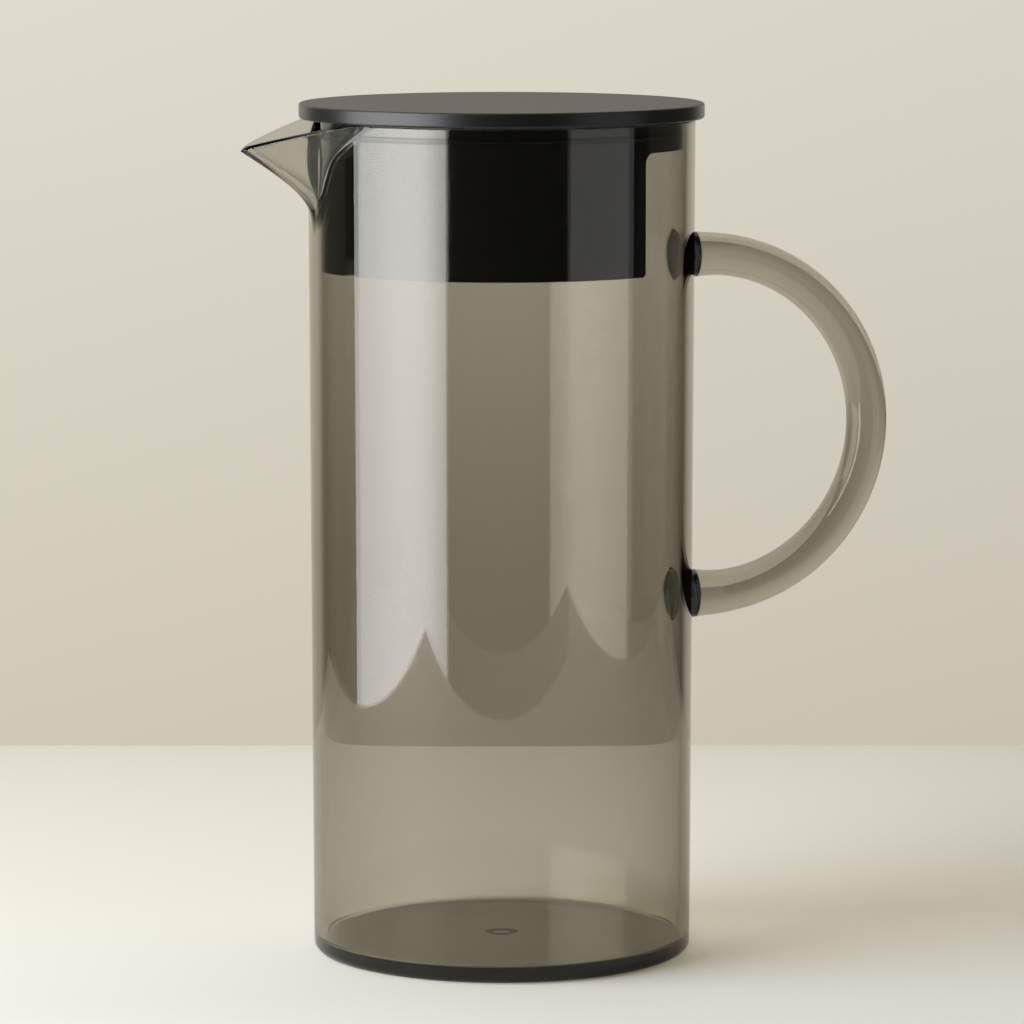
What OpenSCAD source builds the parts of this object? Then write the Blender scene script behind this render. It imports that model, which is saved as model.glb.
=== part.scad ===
// Water jug with a pouring lip, a round bonded handle and a turning lid, in millimetres.
// The jug stands on z = 0 round the Z axis. The handle points along +X and the lip along -X.

/* [Jug] */
// Height from the table to the rim
jug_h = 234.4; // [190:0.2:260]
// Outer radius at the rim
jug_r = 54; // [50:0.5:58]
// How much slimmer the foot is than the rim, on the radius
wall_draft = 0.9; // [0.3:0.1:1.5]
// Wall thickness
wall_t = 3; // [2.6:0.1:3.4]
// Floor thickness
floor_t = 4.2; // [3:0.1:6]
// Round on the outer edge of the foot
foot_round = 1.5; // [0.6:0.1:2.5]
// Round in the corner between wall and floor
floor_round = 1.2; // [0.5:0.1:3]
// Outer radius of the moulding mark in the floor
mark_r = 4.6; // [3:0.1:7]
// Width of the ring that the moulding mark sinks
mark_w = 2.2; // [1:0.1:2.6]
// Depth of the moulding mark
mark_d = 0.4; // [0.2:0.1:0.8]

/* [Pouring lip] */
// Reach of the lip's tip beyond the rim's outer radius
lip_reach = 20.4; // [15:0.2:24]
// Thickness of the lip at its tip, along the reach
lip_t = 4; // [3.4:0.1:4.6]
// Drop of the rim from its level stretch to the tip
lip_drop = 8; // [4:0.1:12]
// Height of the flare from where it leaves the wall to the tip
lip_h = 22.4; // [18:0.2:32]
// Angle from the lip's middle to where it leaves the round wall
lip_spread = 38; // [32:0.5:42]

/* [Handle] */
// Radius of the round rod
rod_r = 6.1; // [5:0.1:7]
// Radius of the bend, to the rod's middle
bend_r = 48.2; // [40:0.2:52]
// Height of the bend's middle
bend_z = 147.2; // [130:0.2:160]
// How far the bonded joints stand out beyond the rim's outer radius
boss_out = 2.2; // [1.8:0.1:3.4]
// Length of the rod's straight end at each joint
end_straight = 3.2; // [1:0.1:5]
// Round where a boss runs out into the wall
boss_round = 1.2; // [0.6:0.1:1.6]

/* [Lid plate] */
// How far the plate stands out beyond the rim's outer radius
plate_over = 2.5; // [1:0.5:8]
// Thickness of the plate
plate_t = 4.2; // [3.4:0.1:6]
// Round on the plate's edges
plate_round = 0.7; // [0.3:0.1:1.2]
// Depth of the recess in the plate's underside
recess_d = 1.8; // [1:0.1:2.4]
// Depth of the rib that centres the plate in the insert
rib_h = 3.6; // [2:0.1:5]
// Thickness of that rib
rib_t = 2.4; // [1.6:0.1:3.4]
// Gap between the plate and the rim below it
lid_gap = 0.3; // [0.2:0.05:0.5]
// Gap between the centring rib and the insert
rib_gap = 0.15; // [0.1:0.05:0.3]

/* [Lid insert] */
// Wall thickness of the insert
insert_t = 2.8; // [2.6:0.1:3.2]
// Height of the closed collar under the plate
collar_h = 8; // [7:0.2:12]
// How far the two tongues reach below the plate
tongue_h = 41.8; // [30:0.2:50]
// Angle that each tongue covers
tongue_sweep = 100; // [70:1:110]
// Width of the narrow slot between the tongues
slot_w = 4; // [3:0.1:5]
// Round in the upper corners of the wide opening
window_round = 3; // [1.5:0.1:4]
// Round on the lower corners of the tongues
tongue_round = 1.4; // [0.6:0.1:1.8]
// Gap between the insert and the jug's wall
insert_gap = 0.35; // [0.25:0.05:0.6]
// Direction of the narrow slot at rest, counted from the handle
slot_turn = 202; // [0:1:359]

/* [Grip ring] */
// Radius of the ring's round section
ring_r = 0.75; // [0.6:0.05:0.9]
// Depth of the ring's middle below the rim
ring_down = 3.6; // [3:0.1:4.4]
// Gap between the ring and the jug's wall
ring_gap = 0.25; // [0.2:0.05:0.35]
// Gap between the ring and its groove
seat_gap = 0.2; // [0.15:0.05:0.3]

/* [Hidden] */
// Faces drawn round an ordinary circle, a large one and the ring's section
$fn = 96;
large_faces = 180;
ring_faces = 36;

smoke = [0.42, 0.39, 0.34, 0.55];
matt_black = [0.13, 0.12, 0.11];
gloss_black = [0.05, 0.05, 0.05];
ring_black = [0.2, 0.2, 0.2];

// What a cut runs past the faces that it opens
overrun = 1;
half_turn = 180;
full_turn = 360;

// Steps in a drawn round, and columns and rows in each face of the lip
round_steps = 8;
lip_columns = 36;
lip_rows = 12;
// Share of the spread over which the tip is rounded, and part of the reach over which the rim eases into its slope
tip_round = 0.04;
rim_ease = 0.35;
// Powers that shape the lip's keel and its foot line
keel_power = 2.3;
foot_power = 0.32;
// The lip's faces start this far inside the wall's faces, and stop just short of their outline's ends
lip_sink = 0.5;
lip_end_share = 0.94;
// Where in the wall's thickness the bosses and the lip begin
root_share = 0.45;

// Radii of the drafted wall at height z
function outer_r(z) = jug_r - wall_draft * (1 - z / jug_h);
function inner_r(z) = outer_r(z) - wall_t;

joint_x = jug_r + boss_out;
plate_r = jug_r + plate_over;
plate_z = jug_h + lid_gap;
insert_r = inner_r(plate_z - tongue_h) - insert_gap;
insert_in_r = insert_r - insert_t;
collar_z = plate_z - collar_h;
tongue_z = plate_z - tongue_h;
rib_r = insert_in_r - rib_gap;
ring_z = jug_h - ring_down;
ring_mid_r = inner_r(ring_z) - ring_gap - ring_r;
groove_h = 2 * (ring_r + seat_gap);
groove_r = ring_mid_r - ring_r - seat_gap;

// Points along a round with its centre at c, in (radius, height)
function round_points(c, r, from, to) =
    [for (i = [0 : round_steps]) c + r * [cos(from + (to - from) * i / round_steps),
                                          sin(from + (to - from) * i / round_steps)]];

// The lip at a share u of its spread. Its flanks run straight in plan, from the rounded tip to where they leave
// the round wall: its part of the full reach, and the heights where its faces start and end
function tip_share(u) = (norm([u, tip_round]) - tip_round) / (norm([1, tip_round]) - tip_round);
function lip_part(u) = (1 / cos(lip_spread * (1 - tip_share(u))) - 1) / (1 / cos(lip_spread) - 1);
function ease(t) = t < 1 ? t * (2 - t) : 1;
function lip_top(u) = jug_h - lip_drop * lip_part(u) * ease(lip_part(u) / rim_ease);
function lip_foot(u) = lip_top(u) - lip_h * pow(lip_part(u), foot_power);

// Direction of a column of the lip in plan
function lip_angle(u) = half_turn + lip_spread * u;

// Point of the jug's frame at an angle, a radius and a height
function polar(a, r, z) = [r * cos(a), r * sin(a), z];

// Radius of a lip face at share v of its height, from the wall's radius there and the face's own reach
function lip_face_r(wall, reach, v) = wall - lip_sink + (reach + lip_sink) * pow(v, keel_power);

// Height of the rim at radius r, where it slopes from the round wall out to reach and down to high
function rim_z(r, reach, high) = jug_h - (jug_h - high) * max(0, r - jug_r) / reach;

// One column of the lip's outer body: root, flared face and sloping rim
function lip_column(u) =
    let (a = lip_angle(u), reach = lip_reach * lip_part(u), low = lip_foot(u), high = lip_top(u),
         root = outer_r(low) - wall_t * root_share)
    concat([polar(a, root, jug_h), polar(a, root, low)],
           [for (j = [0 : lip_rows])
               let (v = j / lip_rows, z = low + (high - low) * v)
               polar(a, lip_face_r(outer_r(z), reach, v), z)],
           [polar(a, jug_r, jug_h)]);

// One column of the channel that opens the lip to the inside of the jug
inner_reach = lip_reach + wall_t - lip_t;
function channel_column(u) =
    let (a = lip_angle(u), reach = inner_reach * lip_part(u), low = lip_foot(u),
         high = rim_z(jug_r - wall_t + reach, lip_reach * lip_part(u), lip_top(u)), core = insert_in_r)
    concat([polar(a, core, jug_h + overrun), polar(a, core, low)],
           [for (j = [0 : lip_rows])
               let (v = j / lip_rows, z = low + (high - low) * v)
               polar(a, lip_face_r(inner_r(z), reach, v), z)],
           [polar(a, jug_r - wall_t + reach, jug_h + overrun)]);

// A closed body through columns of points that all have the same count
module loft(columns) {
    n = len(columns);
    m = len(columns[0]);
    points = [for (column = columns) each column];
    sides = [for (i = [0 : n - 2], j = [0 : m - 1])
        let (a = i * m + j, b = i * m + (j + 1) % m, c = a + m, d = b + m)
        each [[a, b, d], [a, d, c]]];
    first_cap = [for (j = [1 : m - 2]) [0, j + 1, j]];
    last = (n - 1) * m;
    last_cap = [for (j = [1 : m - 2]) [last, last + j, last + j + 1]];
    polyhedron(points = points, faces = concat(sides, first_cap, last_cap));
}

lip_shares = [for (i = [0 : lip_columns]) lip_end_share * (2 * i / lip_columns - 1)];

// Wall, floor and foot in one drafted profile
module shell() {
    foot_r = outer_r(foot_round);
    corner_z = floor_t + floor_round;
    rotate_extrude($fn = large_faces)
    polygon(concat(
        [[0, 0]],
        round_points([foot_r - foot_round, foot_round], foot_round, -half_turn / 2, 0),
        [[jug_r, jug_h], [inner_r(jug_h), jug_h]],
        round_points([inner_r(corner_z) - floor_round, corner_z], floor_round, 0, -half_turn / 2),
        [[mark_r, floor_t], [mark_r, floor_t - mark_d],
         [mark_r - mark_w, floor_t - mark_d], [mark_r - mark_w, floor_t], [0, floor_t]]));
}

// Boss for one end of the handle, flared where it meets the wall
module boss(z) {
    root = outer_r(z) - wall_t * root_share;
    flare_x = outer_r(z) + boss_round;
    translate([0, 0, z])
    rotate([0, half_turn / 2, 0])
    rotate_extrude()
    polygon(concat(
        [[0, root], [rod_r + boss_round, root]],
        round_points([rod_r + boss_round, flare_x], boss_round, -half_turn / 2, -half_turn),
        [[rod_r, joint_x], [0, joint_x]]));
}

module jug_body() {
    color(smoke)
    difference() {
        union() {
            shell();
            loft([for (u = lip_shares) lip_column(u)]);
            for (side = [-1, 1])
                boss(bend_z + side * bend_r);
        }
        loft([for (u = lip_shares) channel_column(u)]);
    }
}

// Round rod bent to a half ring, with a short straight end at each joint
module handle() {
    color(smoke) {
        translate([joint_x + end_straight, 0, bend_z])
        rotate([half_turn / 2, 0, 0])
        rotate_extrude(angle = half_turn, start = -half_turn / 2)
        translate([bend_r, 0])
        circle(rod_r);
        for (side = [-1, 1])
            translate([joint_x, 0, bend_z + side * bend_r])
            rotate([0, half_turn / 2, 0])
            cylinder(r = rod_r, h = end_straight);
    }
}

// Round plate with soft edges, recessed below, with a rib that centres it in the insert
module lid_plate() {
    color(matt_black)
    translate([0, 0, plate_z])
    rotate_extrude($fn = large_faces)
    polygon(concat(
        [[0, recess_d], [rib_r - rib_t, recess_d], [rib_r - rib_t, -rib_h], [rib_r, -rib_h], [rib_r, 0]],
        round_points([plate_r - plate_round, plate_round], plate_round, -half_turn / 2, 0),
        round_points([plate_r - plate_round, plate_t - plate_round], plate_round, 0, half_turn / 2),
        [[0, plate_t]]));
}

// Outline of the edge of an opening in the insert, drawn across the wall: x runs along the wall, y is up.
// It opens everything to the right of x = 0 and below y = 0, with a round in the upper corner.
module window_outline(reach) {
    polygon(concat(
        [[0, -tongue_h]],
        round_points([window_round, -window_round], window_round, half_turn, half_turn / 2),
        [[reach, 0], [reach, -tongue_h]]));
}

// What rounds a tongue's lower corner off, drawn the same way with the corner at the origin
module corner_outline() {
    polygon(concat(
        [[overrun, -overrun], [-tongue_round, -overrun]],
        round_points([-tongue_round, tongue_round], tongue_round, -half_turn / 2, 0),
        [[overrun, tongue_round]]));
}

// Stands an outline across the insert's wall, in the direction a from the slot, at height z
module across_wall(a, z) {
    rotate([0, 0, a])
    translate([insert_in_r - insert_t, 0, z])
    rotate([half_turn / 2, 0, half_turn / 2])
    linear_extrude(height = 3 * insert_t)
    children();
}

// Half of the slot as an angle, so that tongues are counted from the slot's edge
slot_half = asin(slot_w / 2 / insert_r);

module lid_insert() {
    window_from = slot_half + tongue_sweep;
    corner_reach = 2 * window_round;
    wedge_from = window_from + asin(window_round / insert_r);
    color(gloss_black)
    rotate([0, 0, slot_turn])
    difference() {
        translate([0, 0, tongue_z])
        difference() {
            cylinder(r = insert_r, h = tongue_h);
            translate([0, 0, -overrun])
            cylinder(r = insert_in_r, h = tongue_h + 2 * overrun);
        }
        // Groove for the grip ring
        translate([0, 0, ring_z - groove_h / 2])
        difference() {
            cylinder(r = insert_r + overrun, h = groove_h);
            translate([0, 0, -overrun])
            cylinder(r = groove_r, h = groove_h + 2 * overrun);
        }
        // Narrow slot with a round top
        across_wall(0, collar_z) {
            translate([-slot_w / 2, -tongue_h])
            square([slot_w, tongue_h - slot_w / 2]);
            translate([0, -slot_w / 2])
            circle(slot_w / 2);
        }
        // Wide opening opposite the slot
        for (side = [-1, 1])
            across_wall(side * window_from, collar_z)
            scale([side, 1])
            window_outline(corner_reach);
        translate([0, 0, tongue_z - overrun])
        linear_extrude(height = collar_z - tongue_z + overrun)
        polygon(concat([[0, 0]],
                       round_points([0, 0], 2 * jug_r, wedge_from, full_turn - wedge_from)));
        // Rounds on the tongues' lower corners
        for (side = [-1, 1]) {
            across_wall(0, tongue_z)
            translate([-side * slot_w / 2, 0])
            scale([side, 1])
            corner_outline();
            across_wall(side * window_from, tongue_z)
            scale([side, 1])
            corner_outline();
        }
    }
}

// Soft ring in the insert's groove, which holds the lid in the mouth while it turns
module grip_ring() {
    color(ring_black)
    translate([0, 0, ring_z])
    rotate_extrude()
    translate([ring_mid_r, 0])
    circle(ring_r, $fn = ring_faces);
}

jug_body();
handle();
lid_plate();
lid_insert();
grip_ring();
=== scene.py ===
"""The water jug's looks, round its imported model. Metres, +Z up, handle along +X, pouring lip along -X."""

import math

import bpy
import numpy as np
from mathutils import Matrix, Vector


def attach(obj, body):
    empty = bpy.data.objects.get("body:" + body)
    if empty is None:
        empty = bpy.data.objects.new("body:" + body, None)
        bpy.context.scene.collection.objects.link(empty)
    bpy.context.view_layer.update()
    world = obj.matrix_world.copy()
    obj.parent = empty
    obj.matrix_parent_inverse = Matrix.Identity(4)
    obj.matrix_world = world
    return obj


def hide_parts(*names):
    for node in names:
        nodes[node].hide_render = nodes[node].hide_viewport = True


MM = 0.001
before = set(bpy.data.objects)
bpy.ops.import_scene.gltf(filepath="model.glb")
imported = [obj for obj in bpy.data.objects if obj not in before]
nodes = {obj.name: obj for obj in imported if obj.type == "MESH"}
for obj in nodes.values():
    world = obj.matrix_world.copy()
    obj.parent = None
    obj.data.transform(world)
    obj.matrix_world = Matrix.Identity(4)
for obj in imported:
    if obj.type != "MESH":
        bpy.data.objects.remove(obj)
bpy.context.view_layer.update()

# Jug body
JUG_H = 234.4 * MM
JUG_R = 54 * MM
WALL_DRAFT = 0.9 * MM
WALL_T = 3 * MM
FLOOR_T = 4.2 * MM
FOOT_ROUND = 2.8 * MM
FLOOR_ROUND = 1.2 * MM
RIM_ROUND = 0.45 * MM

# Moulding mark in the middle of the floor
MARK_R = 4.6 * MM
MARK_W = 2.2 * MM
MARK_D = 0.4 * MM

# Pouring lip: its reach, its thickness, how far its tip lies below the rim, and its height below the tip
LIP_REACH = 20.5 * MM
LIP_T = 4 * MM
LIP_DROP = 8 * MM
LIP_H = 26 * MM
# Half the angle that it may cover round the jug, the slant of its flanks, and the fillet at the wall
LIP_SPREAD = math.radians(38)
LIP_FLANK = math.radians(34)
LIP_FILLET = 1.2 * MM
# Its nose: the angle that rounds it at the tip, and how much blunter it gets towards its foot
TIP_ROUND = math.radians(1.5)
FOOT_BLUNT = 10
# Share of the reach over which the level rim eases into its slope
RIM_EASE = 0.35
# The keel: its slope, the softness of its bend, and the share of its height where it grows out of the wall
KEEL_SLOPE = 2.0
KEEL_BEND = 0.5
KEEL_FOOT = 0.25

# Handle: a rod that swells over a short length at its upper and lower ends
ROD_SLIM = 5.65 * MM
ROD_TAPER = 0.2 * MM
ROD_SWELL = (0.75 * MM, 1.0 * MM)
SWELL_LENGTH = 8 * MM
ROD_ROUND = 0.35 * MM
BEND_R = 48.2 * MM
BEND_Z = 147.2 * MM
JOINT_X = JUG_R + 2.2 * MM
END_STRAIGHT = 3.2 * MM
ROD_LENGTH = END_STRAIGHT * 2 + math.pi * BEND_R
# Bosses, and the skirt by which each dips into the wall
BOSS_ROUND = 1.2 * MM
BOSS_SKIRT = 0.9 * MM
BOSS_ROOT_SHARE = 0.5
# Dark pieces inside the joints: a plug in each boss, which is a painted shade where the joint looks dark
# inside the plastic, and a disc of adhesive, with a light line between plug and disc
BOND_R_SHARE = 0.975
SHADE_PLUG_SINK = 1.0 * MM
BOND_ROUND = ROD_ROUND / 2
BOND_GAP = 0.03 * MM
LIGHT_LINE = (0.9 * MM, 0.35 * MM)

# Columns, rows and steps in the drawn faces
FLARE_ROWS = 60
FLARE_MARGIN = 6 * MM
WALL_ROWS = 21
LIP_COLUMNS = 120
WALL_COLUMNS = 240
COLUMNS_PAST_LIP = 1.02
ROUND_COLUMNS = 96
ROD_ROWS = 159
FOOT_STEPS = 8
FLOOR_STEPS = 6
RIM_STEPS = 5
BOSS_STEPS = 8
JOINT_STEPS = 4
BOND_STEPS = 3
MARK_STEPS = 12
SEARCH_STEPS = 40
# Rings in the underside as shares of its radius, and in the floor and the mark's button as radii
BASE_RINGS = (0.0, 0.35, 0.7)
FLOOR_RINGS = (40 * MM, 30 * MM, 20 * MM, 10 * MM, 6 * MM)
BUTTON_RINGS = (1.6 * MM, 0.8 * MM)
# Faces that meet at more than this many degrees keep a sharp edge
SHARP_ANGLE = 35
ROD_SHARP_ANGLE = 60

# Clear smoke-tinted plastic, which is denser in the moulding than in the rod
SMOKE = (0.288, 0.212, 0.035)
BODY_DENSITY = 170
ROD_DENSITY = 90
PLASTIC_IOR = 1.55
# Painted shade: the near-black that the rod shows in its mirror images on the jug
PAINTED_MIRROR_SHADE = (0.012, 0.010, 0.007)

# Black plastics
GRAIN_SPREAD = 0.04
GRAIN_DETAIL = 3
# Black of the adhesive discs, and of the plugs, which are painted shade
BOND_AND_SHADE_BLACK = {"colour": (0.006, 0.006, 0.005), "roughness": 0.3, "relief": 0.01 * MM, "grain": 0.4 * MM}
INSERT_BLACK = {"colour": (0.004, 0.004, 0.0035), "roughness": 0.08, "relief": 0.002 * MM, "grain": 6 * MM,
                "gloss": 1.0}
RING_BLACK = {"colour": (0.004, 0.004, 0.0035), "roughness": 0.12, "relief": 0.002 * MM, "grain": 1 * MM}
PLATE_GRAIN = 0.6 * MM
PLATE_RELIEF = 0.01 * MM
# Painted sheen: the top's colour is lighter and warmer than the edge's black
PLATE_TOP_SHEEN = (0.034, 0.022, 0.014)
PLATE_EDGE = (0.006, 0.006, 0.006)
TOP_ROUGH = 0.5
EDGE_ROUGH = 0.3
TOP_FACING = (0.3, 0.9)

# The photograph's camera: it stands low in front, turned off the handle's plane
VIEW_TURN = math.radians(-15)
CAMERA_BACK = 1.5701
CAMERA_UP = 0.3227
CAMERA_DOWN = math.radians(7.213)
CAMERA_PAN = math.radians(0.105)
CAMERA_CLIP = (0.05, 50)
SENSOR = 36
IMAGE_WIDE = 1024
FOCAL_PX = 5637.2

# Table: colours in front and at the back, the depths where they hold, and the edges that mirror images show.
# Its lighter colour towards the back is painted light.
TABLE_NEAR = (0.755, 0.735, 0.665)
TABLE_BACK = (0.93, 0.90, 0.815)
TABLE_SPAN = (-0.08, 0.32)
TABLE_ROUGH = 0.7
TABLE_GLOSS = 0.2
TABLE_FRONT = 0.475
TABLE_LEFT = 0.48
TABLE_RIGHT = 0.68
EDGE_FADE = 0.01
UNDER_GAP = 0.1 * MM

# Wall: colours at its foot and at a height, and how much a straight view through the jug dims it by height
WALL_BACK = 0.342
WALL_LOW = (0.585, 0.55, 0.455)
WALL_TOP = (0.725, 0.70, 0.61)
WALL_RISE = (0.0, 0.32)
WALL_DIM_SPAN = (0.04, 0.20)
WALL_DIM = (0.34, 0.05)
# From left to right its light changes by these factors
WALL_LEAN_SPAN = (-0.17, 0.17)
WALL_LEAN = (1.06, 0.98)
# Past this distance from its middle it fades to a share of its light in mirror images
WALL_HALF = 0.26
WALL_SHIFT = 0.035
WALL_FADE = 0.13
WALL_FAR = 0.12
STAGE_HALF = 3.0

# Soft lights and the room
LIGHT_UP = 0.30
LIGHT_COLOUR = (0.98, 1.0, 1.03)
LEFT_LIGHT = {"centre": (-0.75, -0.558, LIGHT_UP), "aim": (0.2, -0.558, LIGHT_UP), "wide": 1.245, "high": 1.7,
              "radiance": 7.3, "hot": 0.45, "edge": 0.5}
RIGHT_LIGHT = {"centre": (0.70, -0.465, LIGHT_UP), "aim": (-0.2, -0.465, LIGHT_UP), "wide": 0.73, "high": 1.5,
               "radiance": 0.6, "hot": 0.5, "edge": 1.0}
FALL_SPAN = (0.05, 0.62)
MIRROR_SHARE = 0.8
ROOM_DARK = (0.03, 0.03, 0.03)

# Bounces of light that clear plastic needs
ALL_BOUNCES = 24
MIRROR_BOUNCES = 12
CLEAR_BOUNCES = 16

# Sockets of a Mix node for its two colours and its result
MIX_FIRST = 6
MIX_SECOND = 7
MIX_RESULT = 2
# Between the glossy depths of a straight view and of a mirror image
MIRRORED_DEPTH = 0.5


# Shapes

def outer_r(z):
    return JUG_R - WALL_DRAFT * (1 - z / JUG_H)


def inner_r(z):
    return outer_r(z) - WALL_T


def arc(centre, r, start, end, steps):
    """Points round an arc in the plane of radius and height, with both ends."""
    angles = np.radians(np.linspace(start, end, steps + 1))
    return [(centre[0] + r * math.cos(a), centre[1] + r * math.sin(a)) for a in angles]


def soft_corner(before, corner, after, size, steps):
    """A small round in place of a corner."""
    b, c, a = (np.array(p) for p in (before, corner, after))
    p = c + (b - c) / np.linalg.norm(b - c) * size
    q = c + (a - c) / np.linalg.norm(a - c) * size
    shares = np.linspace(0, 1, steps + 1)
    return [tuple((1 - t) ** 2 * p + 2 * t * (1 - t) * c + t ** 2 * q) for t in shares]


def soft_over(d, width):
    """How far the outer of two faces stands over the other, d apart, with a fillet where they cross."""
    if abs(d) >= width:
        return max(0.0, d)
    return (d + width) ** 2 / (4 * width)


def keel_share(v):
    """Share of the reach at a share v of the lip's height: a slope that bends softly into the wall."""
    def bent(t):
        return t + math.hypot(t, KEEL_BEND)
    share = (bent(1 - KEEL_SLOPE * (1 - v)) - bent(1 - KEEL_SLOPE) * (1 - v)) / bent(1)
    t = min(1.0, max(0.0, v / KEEL_FOOT))
    return share * t * t * (3 - 2 * t)


def face_r(theta, z, wall_r, back):
    """Radius of the wall's face at an angle from the lip's middle: a V that slides out with height."""
    wall = wall_r(z)
    if theta > LIP_SPREAD:
        return wall
    share = keel_share(1 + (z - JUG_H + LIP_DROP) / LIP_H)
    point = wall + (LIP_REACH + LIP_FILLET) * share - LIP_FILLET - back * min(1.0, share)
    nose = TIP_ROUND * (1 + FOOT_BLUNT * max(0.0, 1 - share) ** 2)
    turn = math.hypot(theta, nose) - nose
    flank = point * math.sin(LIP_FLANK) / math.sin(LIP_FLANK + turn)
    return wall + soft_over(flank - wall, LIP_FILLET)


def rim_top(theta):
    """Height of the outer rim at an angle from the lip's middle, where its face meets the slanted cut."""
    low, high = JUG_H - 2 * LIP_DROP, JUG_H
    for _ in range(SEARCH_STEPS):
        z = (low + high) / 2
        part = max(0.0, (face_r(theta, z, outer_r, 0) - JUG_R) / LIP_REACH)
        t = min(1.0, part / RIM_EASE)
        if z > JUG_H - LIP_DROP * part * t * (2 - t):
            high = z
        else:
            low = z
    return (low + high) / 2


def rim_z(r, reach, high):
    """Height of the rim at radius r, where it slopes from the round wall out to reach and down to high."""
    return JUG_H - (JUG_H - high) * max(0.0, r - JUG_R) / reach if reach > 0 else JUG_H


def face_points(theta, wall_r, back, start, top):
    """Points up one face of the wall at one angle, from the height start to the rim."""
    return [(face_r(theta, z, wall_r, back), z) for z in np.linspace(start, top, FLARE_ROWS + 1)]


def wall_points(wall_r, low, high):
    """Points up a plain face of the wall, without both ends."""
    return [(wall_r(z), z) for z in np.linspace(low, high, WALL_ROWS + 1)[1:-1]]


def body_profile(theta):
    """One closed section of the jug body, from the middle of its underside to the middle of its floor."""
    top = rim_top(theta)
    reach = face_r(theta, top, outer_r, 0) - JUG_R
    back = LIP_T - WALL_T
    start = JUG_H - LIP_DROP - LIP_H - FLARE_MARGIN
    outer = face_points(theta, outer_r, 0, start, top)
    inner_top = rim_z(face_r(theta, top, inner_r, back), reach, top)
    inner = face_points(theta, inner_r, back, start, inner_top)
    rim_out = soft_corner(outer[-2], outer[-1], inner[-1], RIM_ROUND, RIM_STEPS)
    rim_in = soft_corner(outer[-1], inner[-1], inner[-2], RIM_ROUND, RIM_STEPS)
    corner_z = FLOOR_T + FLOOR_ROUND
    foot_r = outer_r(FOOT_ROUND)
    section = [(foot_r * share, 0.0) for share in BASE_RINGS]
    section += arc((foot_r - FOOT_ROUND, FOOT_ROUND), FOOT_ROUND, -90, 0, FOOT_STEPS)
    section += wall_points(outer_r, FOOT_ROUND, start)
    section += outer[:-2] + rim_out + rim_in + inner[:-2][::-1]
    section += wall_points(inner_r, corner_z, start)[::-1]
    section += arc((inner_r(corner_z) - FLOOR_ROUND, corner_z), FLOOR_ROUND, 0, -90, FLOOR_STEPS)
    section += [(r, FLOOR_T) for r in FLOOR_RINGS]
    return section + mark_section()


def mark_section():
    """The moulding mark: a shallow ring round a small flat button."""
    groove = [(MARK_R - MARK_W * s, FLOOR_T - MARK_D * (1 - math.cos(2 * math.pi * s)) / 2)
              for s in np.linspace(0, 1, MARK_STEPS + 1)]
    return groove + [(r, FLOOR_T) for r in BUTTON_RINGS] + [(0.0, FLOOR_T)]


def body_angles():
    """Angles of the body's columns: close together over the lip."""
    half = LIP_SPREAD * COLUMNS_PAST_LIP
    lip = np.linspace(math.pi - half, math.pi + half, LIP_COLUMNS + 1)
    rest = np.linspace(math.pi + half, 3 * math.pi - half, WALL_COLUMNS + 1)[1:-1]
    return np.concatenate([lip, rest])


def round_angles():
    return np.linspace(0, 2 * math.pi, ROUND_COLUMNS + 1)[:-1]


def make_mesh(name, verts, faces):
    mesh = bpy.data.meshes.new(name)
    mesh.from_pydata([tuple(map(float, v)) for v in verts], [], faces)
    mesh.validate()
    mesh.shade_smooth()
    obj = bpy.data.objects.new(name, mesh)
    bpy.context.scene.collection.objects.link(obj)
    return obj


def revolve(name, sections, angles):
    """A closed mesh through one section per angle. A section starts and ends on the axis."""
    rows = len(sections[0]) - 2
    count = len(angles)
    verts = [(0, 0, sections[0][0][1]), (0, 0, sections[0][-1][1])]
    for section, a in zip(sections, angles):
        verts += [(r * math.cos(a), r * math.sin(a), z) for r, z in section[1:-1]]
    faces = []
    for i in range(count):
        here, there = 2 + i * rows, 2 + (i + 1) % count * rows
        faces.append((0, there, here))
        faces += [(here + j, there + j, there + j + 1, here + j + 1) for j in range(rows - 1)]
        faces.append((here + rows - 1, there + rows - 1, 1))
    return make_mesh(name, verts, faces)


def sharpen(obj, angle=SHARP_ANGLE):
    obj.data.shade_smooth()
    obj.data.set_sharp_from_angle(angle=math.radians(angle))


def bake_modifiers(obj):
    """Puts the result of an object's modifiers into its mesh."""
    made = bpy.data.meshes.new_from_object(obj.evaluated_get(bpy.context.evaluated_depsgraph_get()))
    obj.modifiers.clear()
    obj.data = made


def make_body():
    angles = body_angles()
    sections = [body_profile(abs(a - math.pi)) for a in angles]
    body = revolve("jug_moulding", sections, angles)
    bosses = [make_boss(side) for side in (-1, 1)]
    for boss in bosses:
        mod = body.modifiers.new("join", "BOOLEAN")
        mod.operation = "UNION"
        mod.solver = "EXACT"
        mod.object = boss
    bake_modifiers(body)
    for boss in bosses:
        bpy.data.objects.remove(boss)
    sharpen(body)
    return body


def joint_place(side):
    """Height of the handle's upper (1) or lower (-1) joint, and the rod's radius there."""
    return BEND_Z + side * BEND_R, rod_r(0 if side > 0 else ROD_LENGTH)


def lying(name, section, z):
    """A round piece on its side, along +X at height z. Its section is drawn in radius and x."""
    angles = round_angles()
    obj = revolve(name, [section] * len(angles), angles)
    obj.data.transform(Matrix.Translation((0, 0, z)) @ Matrix.Rotation(math.radians(90), 4, "Y"))
    return obj


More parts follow.
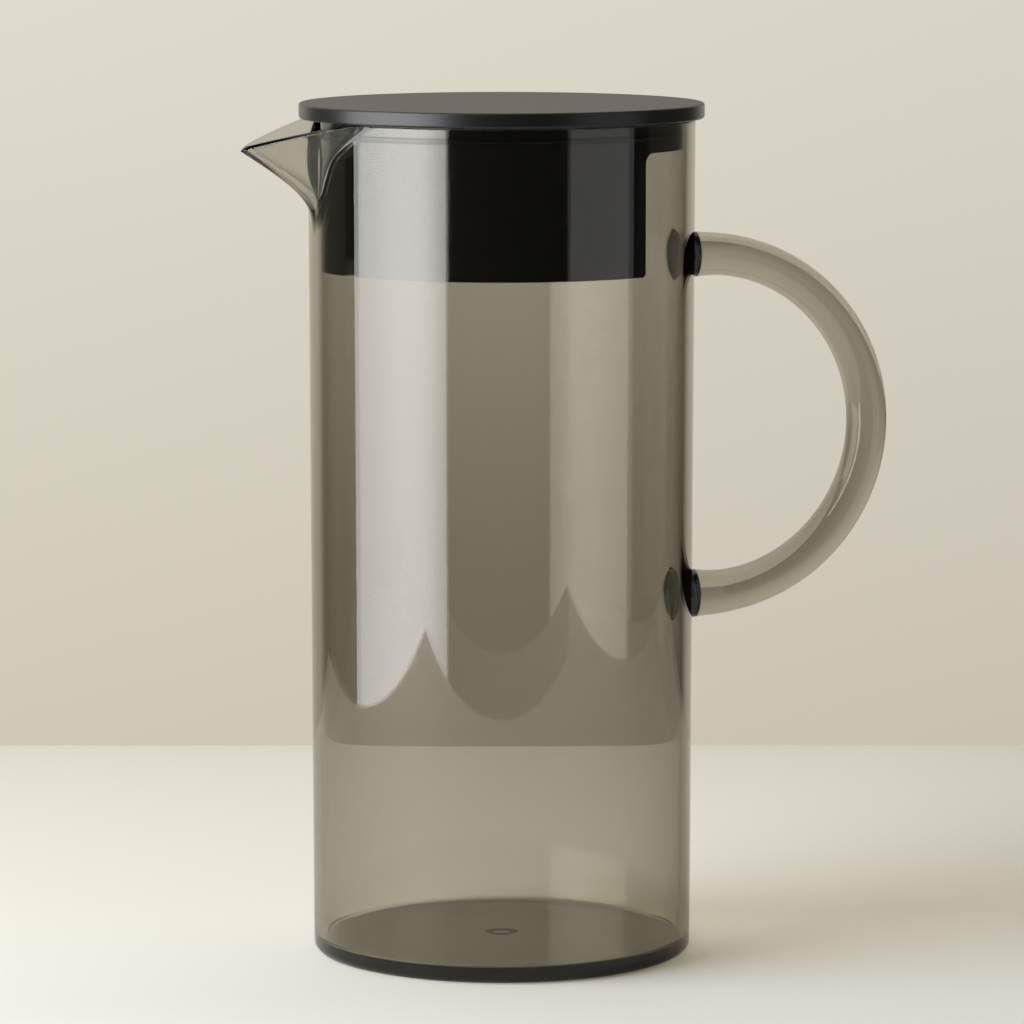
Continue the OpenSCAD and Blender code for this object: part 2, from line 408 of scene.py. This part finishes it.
def make_boss(side):
    """Round boss for one end of the handle, with a soft edge at the joint and a flare at the wall."""
    z, r = joint_place(side)
    root = outer_r(z) - WALL_T * BOSS_ROOT_SHARE
    flare_x = outer_r(z) + BOSS_ROUND
    section = [(0.0, root), (r + BOSS_ROUND, root), (r + BOSS_ROUND, outer_r(z) - BOSS_SKIRT)]
    section += arc((r + BOSS_ROUND, flare_x), BOSS_ROUND, -90, -180, BOSS_STEPS)
    section += soft_corner((r, flare_x), (r, JOINT_X), (0, JOINT_X), ROD_ROUND, JOINT_STEPS)
    return lying("boss", section + [(0.0, JOINT_X)], z)


def make_bonds_and_shade():
    """The dark core of each joint: a plug in the boss, which is a painted shade, then a disc of adhesive past
    a thin light line.
    """
    bonds = []
    start, end = LIGHT_LINE
    for side, place in ((1, "upper"), (-1, "lower")):
        z, rod = joint_place(side)
        r = rod * BOND_R_SHARE
        spans = {"plug": (outer_r(z) - SHADE_PLUG_SINK, JOINT_X - start), "disc": (JOINT_X - end, JOINT_X + end)}
        for kind, (near, far) in spans.items():
            section = [(0.0, near)] + soft_corner((0, near), (r, near), (r, far), BOND_ROUND, BOND_STEPS)
            section += soft_corner((r, near), (r, far), (0, far), BOND_ROUND, BOND_STEPS) + [(0.0, far)]
            bond = lying("joint_" + kind + "_" + place, section, z)
            sharpen(bond)
            bonds.append(bond)
    return bonds


def rod_r(s):
    """Radius of the rod at a length s from the upper joint: slim in the bend and swollen at both joints."""
    upper, lower = ROD_SWELL
    swell = upper * math.exp(-s / SWELL_LENGTH) + lower * math.exp((s - ROD_LENGTH) / SWELL_LENGTH)
    return float(ROD_SLIM + ROD_TAPER * s / ROD_LENGTH + swell)


def rod_place(s):
    """Middle of the rod and its direction at a length s along it from the upper joint."""
    bend = math.pi * BEND_R
    x0 = JOINT_X + BOND_GAP
    if s < END_STRAIGHT:
        return Vector((x0 + s, 0, BEND_Z + BEND_R)), Vector((1, 0, 0))
    if s > END_STRAIGHT + bend:
        back = s - END_STRAIGHT - bend
        return Vector((x0 + END_STRAIGHT - back, 0, BEND_Z - BEND_R)), Vector((-1, 0, 0))
    a = (s - END_STRAIGHT) / BEND_R
    centre = Vector((x0 + END_STRAIGHT + BEND_R * math.sin(a), 0, BEND_Z + BEND_R * math.cos(a)))
    return centre, Vector((math.cos(a), 0, -math.sin(a)))


def make_handle():
    """Round rod bent to a half ring, from the upper joint to the lower one, where it is a little thicker."""
    around = ROUND_COLUMNS
    ends = [(ROD_ROUND * (1 - math.cos(t)), ROD_ROUND * (1 - math.sin(t)))
            for t in np.radians(np.linspace(0, 90, RIM_STEPS + 1))]
    middle = [(s, 0.0) for s in np.linspace(ROD_ROUND, ROD_LENGTH - ROD_ROUND, ROD_ROWS + 1)[1:-1]]
    steps = ends + middle + [(ROD_LENGTH - s, inset) for s, inset in ends[::-1]]
    side = Vector((0, 1, 0))
    verts = []
    for s, inset in steps:
        centre, forward = rod_place(s)
        r = rod_r(s) - inset
        up = forward.cross(side)
        verts += [centre + r * (math.cos(a) * up + math.sin(a) * side) for a in round_angles()]
    faces = []
    for i in range(len(steps) - 1):
        here, there = i * around, (i + 1) * around
        faces += [(here + j, there + j, there + (j + 1) % around, here + (j + 1) % around)
                  for j in range(around)]
    first, last, base = len(verts), len(verts) + 1, (len(steps) - 1) * around
    verts += [rod_place(0)[0], rod_place(ROD_LENGTH)[0]]
    for j in range(around):
        k = (j + 1) % around
        faces += [(first, j, k), (last, base + k, base + j)]
    rod = make_mesh("handle_rod", verts, faces)
    sharpen(rod, ROD_SHARP_ANGLE)
    return rod


# Shader nodes

def new_material(name):
    m = bpy.data.materials.new(name)
    m.use_nodes = True
    nodes = m.node_tree.nodes
    return m, m.node_tree, nodes["Principled BSDF"], nodes["Material Output"]


def math_node(tree, operation, first, second):
    node = tree.nodes.new("ShaderNodeMath")
    node.operation = operation
    for socket, value in zip(node.inputs, (first, second)):
        if isinstance(value, float):
            socket.default_value = value
        else:
            tree.links.new(value, socket)
    return node.outputs[0]


def map_range(tree, value, span, result=(0.0, 1.0), smooth=False):
    """Carries a value over from one span to another, and holds it at the ends."""
    node = tree.nodes.new("ShaderNodeMapRange")
    if smooth:
        node.interpolation_type = "SMOOTHSTEP"
    node.inputs["From Min"].default_value, node.inputs["From Max"].default_value = span
    node.inputs["To Min"].default_value, node.inputs["To Max"].default_value = result
    tree.links.new(value, node.inputs["Value"])
    return node.outputs["Result"]


def mix_colour(tree, share, first, second):
    node = tree.nodes.new("ShaderNodeMix")
    node.data_type = "RGBA"
    node.inputs[MIX_FIRST].default_value = (*first, 1)
    node.inputs[MIX_SECOND].default_value = (*second, 1)
    tree.links.new(share, node.inputs[0])
    return node.outputs[MIX_RESULT]


def mix_shader(tree, share, first, second):
    node = tree.nodes.new("ShaderNodeMixShader")
    tree.links.new(share, node.inputs["Fac"])
    tree.links.new(first, node.inputs[1])
    tree.links.new(second, node.inputs[2])
    return node.outputs[0]


def split_xyz(tree, vector):
    node = tree.nodes.new("ShaderNodeSeparateXYZ")
    tree.links.new(vector, node.inputs[0])
    return node.outputs


def light_path(tree):
    return tree.nodes.new("ShaderNodeLightPath").outputs


def in_mirror(tree, path):
    """1 in mirror images and 0 elsewhere."""
    return math_node(tree, "GREATER_THAN", path["Glossy Depth"], MIRRORED_DEPTH)


def grain_noise(tree, size):
    place = tree.nodes.new("ShaderNodeTexCoord")
    noise = tree.nodes.new("ShaderNodeTexNoise")
    noise.inputs["Scale"].default_value = 1 / size
    noise.inputs["Detail"].default_value = GRAIN_DETAIL
    tree.links.new(place.outputs["Object"], noise.inputs["Vector"])
    return noise.outputs["Fac"]


def add_relief(tree, shader, height, depth):
    bump = tree.nodes.new("ShaderNodeBump")
    bump.inputs["Distance"].default_value = depth
    bump.inputs["Strength"].default_value = 1
    tree.links.new(height, bump.inputs["Height"])
    tree.links.new(bump.outputs["Normal"], shader.inputs["Normal"])


# Materials

def smoke_plastic(name, colour, density, mirror_shade_painted=False):
    """Clear smoke-tinted plastic: it mirrors and bends light, and darkens it by the length of its way inside.

    Where mirror_shade_painted is true, its mirror images on the jug are near-black, a painted shade in place
    of what they would show.
    """
    m, tree, shader, out = new_material(name)
    shader.inputs["Base Color"].default_value = (1, 1, 1, 1)
    shader.inputs["Transmission Weight"].default_value = 1
    shader.inputs["IOR"].default_value = PLASTIC_IOR
    shader.inputs["Roughness"].default_value = 0.0
    path = light_path(tree)
    look = shader.outputs[0]
    # Painted shade: a near-black diffuse in the rod's mirror images
    if mirror_shade_painted:
        dark = tree.nodes.new("ShaderNodeBsdfDiffuse")
        dark.inputs["Color"].default_value = (*PAINTED_MIRROR_SHADE, 1)
        look = mix_shader(tree, in_mirror(tree, path), look, dark.outputs[0])
    clear = tree.nodes.new("ShaderNodeBsdfTransparent")
    look = mix_shader(tree, path["Is Shadow Ray"], look, clear.outputs[0])
    tree.links.new(look, out.inputs["Surface"])
    inside = tree.nodes.new("ShaderNodeVolumeAbsorption")
    inside.inputs["Color"].default_value = (*colour, 1)
    inside.inputs["Density"].default_value = density
    tree.links.new(inside.outputs[0], out.inputs["Volume"])
    return m


def black_plastic(name, colour, roughness, relief, grain, gloss=0.5):
    """Moulded black plastic with a fine grain in its roughness and surface."""
    m, tree, shader, out = new_material(name)
    shader.inputs["Base Color"].default_value = (*colour, 1)
    shader.inputs["Specular IOR Level"].default_value = gloss
    noise = grain_noise(tree, grain)
    spread = (roughness - GRAIN_SPREAD, roughness + GRAIN_SPREAD)
    tree.links.new(map_range(tree, noise, (0.0, 1.0), spread), shader.inputs["Roughness"])
    add_relief(tree, shader, noise, relief)
    return m


def plate_plastic():
    """The lid plate's black plastic: a fine-grained matt top with a painted warm sheen that lightens the
    faces looking up, and a smoother edge.
    """
    m, tree, shader, out = new_material("plate_black")
    geometry = tree.nodes.new("ShaderNodeNewGeometry")
    facing = split_xyz(tree, geometry.outputs["Normal"])
    top = map_range(tree, facing["Z"], TOP_FACING)
    # Painted sheen: faces looking up take the lighter, warmer top colour
    tree.links.new(mix_colour(tree, top, PLATE_EDGE, PLATE_TOP_SHEEN), shader.inputs["Base Color"])
    noise = grain_noise(tree, PLATE_GRAIN)
    finish = map_range(tree, top, (0.0, 1.0), (EDGE_ROUGH, TOP_ROUGH))
    spread = map_range(tree, noise, (0.0, 1.0), (-GRAIN_SPREAD, GRAIN_SPREAD))
    tree.links.new(math_node(tree, "ADD", finish, spread), shader.inputs["Roughness"])
    add_relief(tree, shader, noise, PLATE_RELIEF)
    return m


def wall_material():
    """A pale wall that shines by itself, a little darker towards its foot, and is not there from behind."""
    m, tree, shader, out = new_material("wall")
    tree.nodes.remove(shader)
    place = tree.nodes.new("ShaderNodeNewGeometry")
    height = split_xyz(tree, place.outputs["Position"])["Z"]
    glow = tree.nodes.new("ShaderNodeEmission")
    colour = mix_colour(tree, map_range(tree, height, WALL_RISE), WALL_LOW, WALL_TOP)
    tree.links.new(colour, glow.inputs["Color"])
    path = light_path(tree)
    dim = map_range(tree, height, WALL_DIM_SPAN, WALL_DIM, smooth=True)
    taken = math_node(tree, "MULTIPLY", dim, path["Is Transmission Ray"])
    lit = math_node(tree, "SUBTRACT", 1.0, taken)
    local = tree.nodes.new("ShaderNodeTexCoord")
    across = split_xyz(tree, local.outputs["Object"])["X"]
    distance = math_node(tree, "ABSOLUTE", math_node(tree, "ADD", across, WALL_SHIFT), 0.0)
    aside = map_range(tree, distance, (WALL_HALF, WALL_HALF + WALL_FADE), (0.0, 1 - WALL_FAR), smooth=True)
    hidden = math_node(tree, "MULTIPLY", aside, in_mirror(tree, path))
    shown = math_node(tree, "MULTIPLY", lit, math_node(tree, "SUBTRACT", 1.0, hidden))
    lean = map_range(tree, across, WALL_LEAN_SPAN, WALL_LEAN)
    tree.links.new(math_node(tree, "MULTIPLY", shown, lean), glow.inputs["Strength"])
    clear = tree.nodes.new("ShaderNodeBsdfTransparent")
    look = mix_shader(tree, place.outputs["Backfacing"], glow.outputs[0], clear.outputs[0])
    tree.links.new(look, out.inputs["Surface"])
    return m


def table_material():
    """A pale matt table. Mirror images show only its real top, and the dark room past its edges."""
    m, tree, shader, out = new_material("table")
    shader.inputs["Roughness"].default_value = TABLE_ROUGH
    shader.inputs["Specular IOR Level"].default_value = TABLE_GLOSS
    local = tree.nodes.new("ShaderNodeTexCoord")
    place = split_xyz(tree, local.outputs["Object"])
    # Painted light: the table's colour grows lighter from front to back
    tint = mix_colour(tree, map_range(tree, place["Y"], TABLE_SPAN), TABLE_NEAR, TABLE_BACK)
    tree.links.new(tint, shader.inputs["Base Color"])
    front = map_range(tree, place["Y"], (-TABLE_FRONT, -TABLE_FRONT - EDGE_FADE))
    left = map_range(tree, place["X"], (-TABLE_LEFT, -TABLE_LEFT - EDGE_FADE))
    right = map_range(tree, place["X"], (TABLE_RIGHT, TABLE_RIGHT + EDGE_FADE))
    past = math_node(tree, "MAXIMUM", math_node(tree, "MAXIMUM", front, left), right)
    hidden = math_node(tree, "MULTIPLY", past, in_mirror(tree, light_path(tree)))
    clear = tree.nodes.new("ShaderNodeBsdfTransparent")
    tree.links.new(mix_shader(tree, hidden, shader.outputs[0], clear.outputs[0]), out.inputs["Surface"])
    return m


def paint(obj, material):
    obj.data.materials.clear()
    obj.data.materials.append(material)


# Stage

def to_model(p):
    """A point of the photograph's own frame, where the camera looks along +Y, in the jug's frame."""
    return Matrix.Rotation(VIEW_TURN, 3, "Z") @ Vector(p)


def stage_plane(name, corners, material):
    obj = make_mesh(name, corners, [(0, 1, 2, 3)])
    obj.rotation_euler.z = VIEW_TURN
    obj.data.materials.append(material)


def make_stage():
    w, low = STAGE_HALF, -UNDER_GAP
    stage_plane("table", [(-w, -w, low), (w, -w, low), (w, w, low), (-w, w, low)], table_material())
    stage_plane("wall", [(-w, WALL_BACK, low), (w, WALL_BACK, low),
                         (w, WALL_BACK, 2 * w), (-w, WALL_BACK, 2 * w)], wall_material())


def aim_at(obj, direction):
    obj.rotation_mode = "QUATERNION"
    obj.rotation_quaternion = direction.to_track_quat("-Z", "Y")


def soft_light(name, centre, aim, wide, high, radiance, hot, edge):
    """A rectangular soft light that faces a point, brightest at a share hot of its width, falling to edge."""
    data = bpy.data.lights.new(name, "AREA")
    data.shape = "RECTANGLE"
    data.size, data.size_y = wide, high
    data.energy = radiance * math.pi * wide * high
    data.color = LIGHT_COLOUR
    obj = bpy.data.objects.new(name, data)
    bpy.context.scene.collection.objects.link(obj)
    obj.location = to_model(centre)
    aim_at(obj, to_model(aim) - obj.location)
    obj.visible_camera = False
    data.use_nodes = True
    tree = data.node_tree
    path = light_path(tree)
    straight = math_node(tree, "LESS_THAN", path["Glossy Depth"], MIRRORED_DEPTH)
    seen = math_node(tree, "MULTIPLY", straight, path["Is Transmission Ray"])
    shown = math_node(tree, "SUBTRACT", 1.0, seen)
    place = tree.nodes.new("ShaderNodeNewGeometry")
    across = split_xyz(tree, place.outputs["Parametric"])["X"]
    away = math_node(tree, "ABSOLUTE", math_node(tree, "SUBTRACT", across, hot), 0.0)
    fall = map_range(tree, away, FALL_SPAN, (1.0, edge), smooth=True)
    dimmed = math_node(tree, "MULTIPLY", in_mirror(tree, path), 1 - MIRROR_SHARE)
    kept = math_node(tree, "MULTIPLY", shown, math_node(tree, "SUBTRACT", 1.0, dimmed))
    strength = math_node(tree, "MULTIPLY", kept, fall)
    tree.links.new(strength, tree.nodes["Emission"].inputs["Strength"])


def make_room():
    """The world: pale behind the stage for the camera, and dark for everything else."""
    world = bpy.data.worlds.new("room")
    bpy.context.scene.world = world
    world.use_nodes = True
    tree = world.node_tree
    look = mix_colour(tree, light_path(tree)["Is Camera Ray"], ROOM_DARK, WALL_TOP)
    tree.links.new(look, tree.nodes["Background"].inputs["Color"])


def make_camera():
    data = bpy.data.cameras.new("camera")
    data.sensor_width = SENSOR
    data.lens = FOCAL_PX / IMAGE_WIDE * SENSOR
    data.clip_start, data.clip_end = CAMERA_CLIP
    cam = bpy.data.objects.new("camera", data)
    bpy.context.scene.collection.objects.link(cam)
    cam.location = to_model((0, -CAMERA_BACK, CAMERA_UP))
    level = math.cos(CAMERA_DOWN)
    forward = (math.sin(CAMERA_PAN) * level, math.cos(CAMERA_PAN) * level, -math.sin(CAMERA_DOWN))
    aim_at(cam, to_model(forward))
    bpy.context.scene.camera = cam


make_camera()
make_stage()
soft_light("left_light", **LEFT_LIGHT)
soft_light("right_light", **RIGHT_LIGHT)
make_room()

body = make_body()
paint(body, smoke_plastic("smoke_plastic", SMOKE, BODY_DENSITY))
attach(body, "jug")
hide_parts("jug_body")

handle = make_handle()
paint(handle, smoke_plastic("smoke_rod", SMOKE, ROD_DENSITY, mirror_shade_painted=True))
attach(handle, "jug")
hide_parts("handle")

# One black for the adhesive discs and for the plugs of painted shade
bond_and_shade_black = black_plastic("bond_and_shade_black", **BOND_AND_SHADE_BLACK)
for bond in make_bonds_and_shade():
    paint(bond, bond_and_shade_black)
    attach(bond, "jug")

paint(nodes["lid_plate"], plate_plastic())
paint(nodes["lid_insert"], black_plastic("gloss_black", **INSERT_BLACK))
paint(nodes["grip_ring"], black_plastic("ring_black", **RING_BLACK))

scene = bpy.context.scene
scene.view_settings.view_transform = "Standard"
scene.cycles.max_bounces = ALL_BOUNCES
scene.cycles.transmission_bounces = ALL_BOUNCES
scene.cycles.glossy_bounces = MIRROR_BOUNCES
scene.cycles.transparent_max_bounces = CLEAR_BOUNCES
